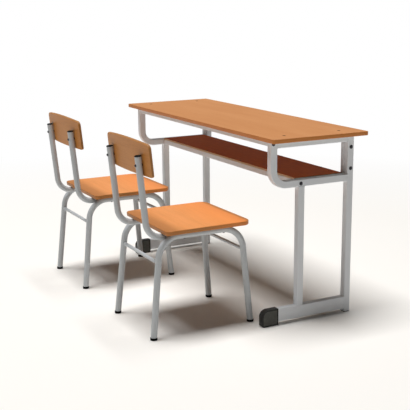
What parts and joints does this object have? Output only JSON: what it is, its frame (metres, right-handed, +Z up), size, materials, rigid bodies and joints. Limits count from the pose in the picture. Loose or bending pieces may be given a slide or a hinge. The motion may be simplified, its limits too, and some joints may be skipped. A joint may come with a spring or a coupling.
{
  "type": "school desk and chair",
  "caption": "School desk for two sitters with an open book shelf on a welded square-tube frame, with loose round-tube chairs that have moulded plywood seats and back panels",
  "frame": {"origin": "on the floor, under the middle of the bounding box of the desk and both chairs", "axes": "+X runs along the desk, +Y points from the chairs to the desk's rear, +Z is up"},
  "size_m": [1.35, 0.9122, 0.7578],
  "materials": {
    "desk_board": "orange-brown wood-grain laminate with a satin sheen and a darker edge",
    "seat_ply": "moulded plywood with a warm orange clear lacquer and darker layered edges",
    "back_ply": "moulded plywood with a brown lacquer",
    "shelf_board": "thin hardboard, stained dark red-brown",
    "frame_paint": "light grey baked powder coat with a satin sheen",
    "foot_plastic": "dark grey moulded plastic with a fine grain",
    "black_plastic": "black moulded plastic",
    "dark_steel": "dark oxide on domed screw and bolt heads"
  },
  "bodies": {
    "desk": {"desk_top": "desk_board", "book_shelf": "shelf_board", "rear_top_rail": "frame_paint", "rear_shelf_rail": "frame_paint", "front_top_rail": "frame_paint", "front_shelf_rail": "frame_paint", "front_leg_right": "frame_paint", "front_leg_left": "frame_paint", "rear_post_right": "frame_paint", "rear_post_left": "frame_paint", "rear_upright_right": "frame_paint", "rear_upright_left": "frame_paint", "lower_leg_right": "frame_paint", "lower_leg_left": "frame_paint", "foot_rail_right": "frame_paint", "foot_rail_left": "frame_paint", "side_apron_right": "frame_paint", "side_apron_left": "frame_paint", "foot_cap_right": "foot_plastic", "foot_cap_left": "foot_plastic", "top_screw_right_rear": "dark_steel", "top_screw_right_front": "dark_steel", "top_screw_left_rear": "dark_steel", "top_screw_left_front": "dark_steel", "top_rail_bolt_right": "dark_steel", "top_rail_bolt_left": "dark_steel", "shelf_rail_bolt_right": "dark_steel", "shelf_rail_bolt_left": "dark_steel", "upper_post_bolt_right": "dark_steel", "upper_post_bolt_left": "dark_steel", "lower_post_bolt_right": "dark_steel", "lower_post_bolt_left": "dark_steel"},
    "right_chair": {"right_chair_side_frame_right": "frame_paint", "right_chair_side_frame_left": "frame_paint", "right_chair_back_post_right": "frame_paint", "right_chair_back_post_left": "frame_paint", "right_chair_post_cap_right": "black_plastic", "right_chair_post_cap_left": "black_plastic", "right_chair_front_stretcher": "frame_paint", "right_chair_rear_stretcher": "frame_paint", "right_chair_foot_tip_front_right": "black_plastic", "right_chair_foot_tip_front_left": "black_plastic", "right_chair_foot_tip_rear_right": "black_plastic", "right_chair_foot_tip_rear_left": "black_plastic", "right_chair_seat": "seat_ply", "right_chair_back_panel": "back_ply"},
    "left_chair": {"left_chair_side_frame_right": "frame_paint", "left_chair_side_frame_left": "frame_paint", "left_chair_back_post_right": "frame_paint", "left_chair_back_post_left": "frame_paint", "left_chair_post_cap_right": "black_plastic", "left_chair_post_cap_left": "black_plastic", "left_chair_front_stretcher": "frame_paint", "left_chair_rear_stretcher": "frame_paint", "left_chair_foot_tip_front_right": "black_plastic", "left_chair_foot_tip_front_left": "black_plastic", "left_chair_foot_tip_rear_right": "black_plastic", "left_chair_foot_tip_rear_left": "black_plastic", "left_chair_seat": "seat_ply", "left_chair_back_panel": "back_ply"}
  },
  "joints": [
    {"name": "right_chair_slide", "type": "slide", "parent": "desk", "child": "right_chair", "axis": [0, 1, 0], "range_m": [-0.25, 0.4]},
    {"name": "left_chair_slide", "type": "slide", "parent": "desk", "child": "left_chair", "axis": [0, 1, 0], "range_m": [-0.25, 0.4]}
  ]
}
